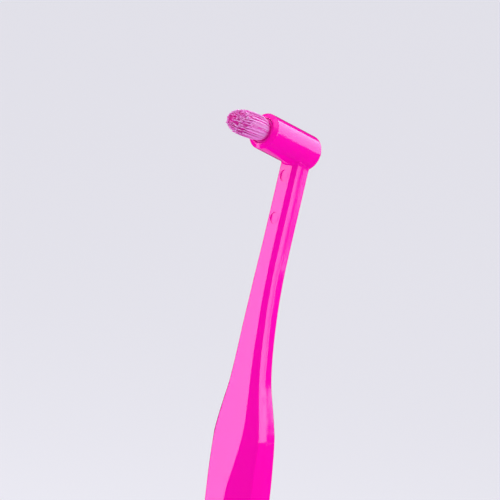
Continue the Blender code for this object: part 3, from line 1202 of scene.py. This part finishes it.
@dataclass(frozen=True)
class SoftBox:
    """A rectangular lamp that stands round the brush and faces it.

    Its azimuth runs from the tuft's side towards +X, its distance is from the brush's axis, and its
    height and the height that it aims at are above the floor.
    """

    name: str
    azimuth: float
    distance: float
    height: float
    aim_height: float
    width: float
    tallness: float
    radiance: float

    def build(self) -> Object:
        """Makes the lamp. Its power is pi times its area times its radiance."""
        angle = math.radians(self.azimuth)
        place = Vector((math.sin(angle), -math.cos(angle), 0.0)) * self.distance
        place.z = self.height
        light = bpy.data.lights.new(self.name, "AREA")
        light.shape = "RECTANGLE"
        light.size, light.size_y = self.width, self.tallness
        light.energy = math.pi * self.width * self.tallness * self.radiance
        lamp = bpy.data.objects.new(self.name, light)
        turn = (place - Vector((0.0, 0.0, self.aim_height))).to_track_quat("Z", "Y")
        lamp.matrix_world = Matrix.Translation(place) @ turn.to_matrix().to_4x4()
        lamp.visible_camera = False
        bpy.context.scene.collection.objects.link(lamp)
        return lamp


@dataclass
class Studio:
    """A pale floor, a pale surrounding and soft boxes."""

    floor_reach: float = 6.0
    floor_colour: tuple = (0.82, 0.812, 0.882)
    floor_shade: tuple = (0.81, 0.802, 0.872)
    floor_cloud_scale: float = 3.0
    backdrop_colour: tuple = (0.794, 0.785, 0.855)
    surround_level: float = 0.92
    room_levels: tuple = (0.03, 0.8)
    room_heights: tuple = (0.45, 0.85)
    floor_glow_levels: tuple = (0.0, 0.6)
    floor_glow_edges: tuple = (0.93, 0.975)
    floor_glow_way: tuple = (-0.46, 0.48, -0.745)
    boxes: tuple = (
        SoftBox("front_box", -44.6, 0.50, 0.015, 0.0, 0.14, 0.70, 3.7),
        SoftBox("side_box", 127.2, 0.30, 0.146, 0.146, 0.0514, 0.088, 3.6),
        SoftBox("side_patch", 134.6, 0.30, 0.160, 0.150, 0.0300, 0.026, 4.0),
        SoftBox("side_strip", 140.8, 0.80, 0.032, 0.032, 0.0755, 0.0095, 3.9),
        SoftBox("rear_box", 165.2, 0.35, 0.238, 0.16, 0.36, 0.184, 3.2),
        SoftBox("top_box", 20.0, 0.25, 0.80, 0.15, 0.50, 0.50, 1.05),
    )

    def build_floor(self) -> Object:
        """Makes the floor, a flat square at the butt's level, with a faintly uneven colour."""
        r = self.floor_reach
        corners = np.array([(-r, -r, 0.0), (r, -r, 0.0), (r, r, 0.0), (-r, r, 0.0)])
        floor = mesh_object("floor", corners, np.array([[0, 1, 2, 3]]))
        shader = Shader("floor")
        place = shader.node("TexCoord").outputs["Object"]
        cloud = shader.node("TexNoise", {"Vector": place, "Scale": self.floor_cloud_scale})
        shader.fill(shader.principled, {
            "Base Color": shader.blend(cloud.outputs["Fac"], self.floor_colour, self.floor_shade),
            "Roughness": 1.0,
            "Specular IOR Level": 0.0,
        })
        dress(floor, shader.material)
        floor.visible_glossy = False
        return floor

    def build_surround(self) -> None:
        """Lights the scene evenly from all sides.

        The camera and see-through surfaces get the backdrop's colour. Gloss gets it too, but dimmed
        to a dark room round the horizon that brightens towards the ceiling, and towards the pale
        floor behind the brush.
        """
        world = bpy.data.worlds.new("surround")
        world.use_nodes = True
        nodes = Nodes(world.node_tree)
        way = nodes.node("TexCoord").outputs["Generated"]
        height = nodes.node("SeparateXYZ", {"Vector": way}).outputs["Z"]
        room = nodes.ramp(height, self.room_levels, self.room_heights, "SMOOTHSTEP")
        inputs = {0: way, 1: self.floor_glow_way}
        near = nodes.node("VectorMath", inputs, operation="DOT_PRODUCT").outputs["Value"]
        glow = nodes.ramp(near, self.floor_glow_levels, self.floor_glow_edges, "SMOOTHSTEP")
        path = nodes.node("LightPath").outputs
        seen = nodes.math("MAXIMUM", path["Is Camera Ray"], path["Is Transmission Ray"])
        light = world.node_tree.nodes["Background"]
        nodes.fill(light, {"Color": (1.0, 1.0, 1.0), "Strength": self.surround_level})
        result = light.outputs["Background"]
        dimmed = nodes.math("MAXIMUM", room, glow)
        for share, strength in ((path["Is Glossy Ray"], dimmed), (seen, 1.0)):
            inputs = {"Color": self.backdrop_colour, "Strength": strength}
            shown = nodes.node("Background", inputs).outputs["Background"]
            result = nodes.node("MixShader", {0: share, 1: result, 2: shown}).outputs["Shader"]
        nodes.link(result, world.node_tree.nodes["World Output"].inputs["Surface"])
        bpy.context.scene.world = world

    def build(self) -> None:
        """Builds the floor, the surrounding and the lamps."""
        self.build_floor()
        self.build_surround()
        for box in self.boxes:
            box.build()
            LOG.info("lamp %s", box.name)


def main() -> None:
    """Builds the toothbrush's looks and its studio, in order."""
    logging.basicConfig(level=logging.INFO, format="%(message)s")
    bpy.context.scene.view_settings.view_transform = "Standard"
    Camera().build()
    micro = micro_surface_group()
    moulding = HandleMoulding()
    handle = moulding.build(PlasticFinish().material(micro))
    tuft = FilamentTuft().build(moulding, FilamentFinish().material(micro))
    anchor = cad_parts["tuft_anchor"]
    dress(anchor, MetalFinish().material(micro))
    for piece in (handle, tuft, anchor):
        LOG.info("%s: %d faces", piece.name, len(piece.data.polygons))
    Studio().build()


if __name__ == "__main__":
    main()
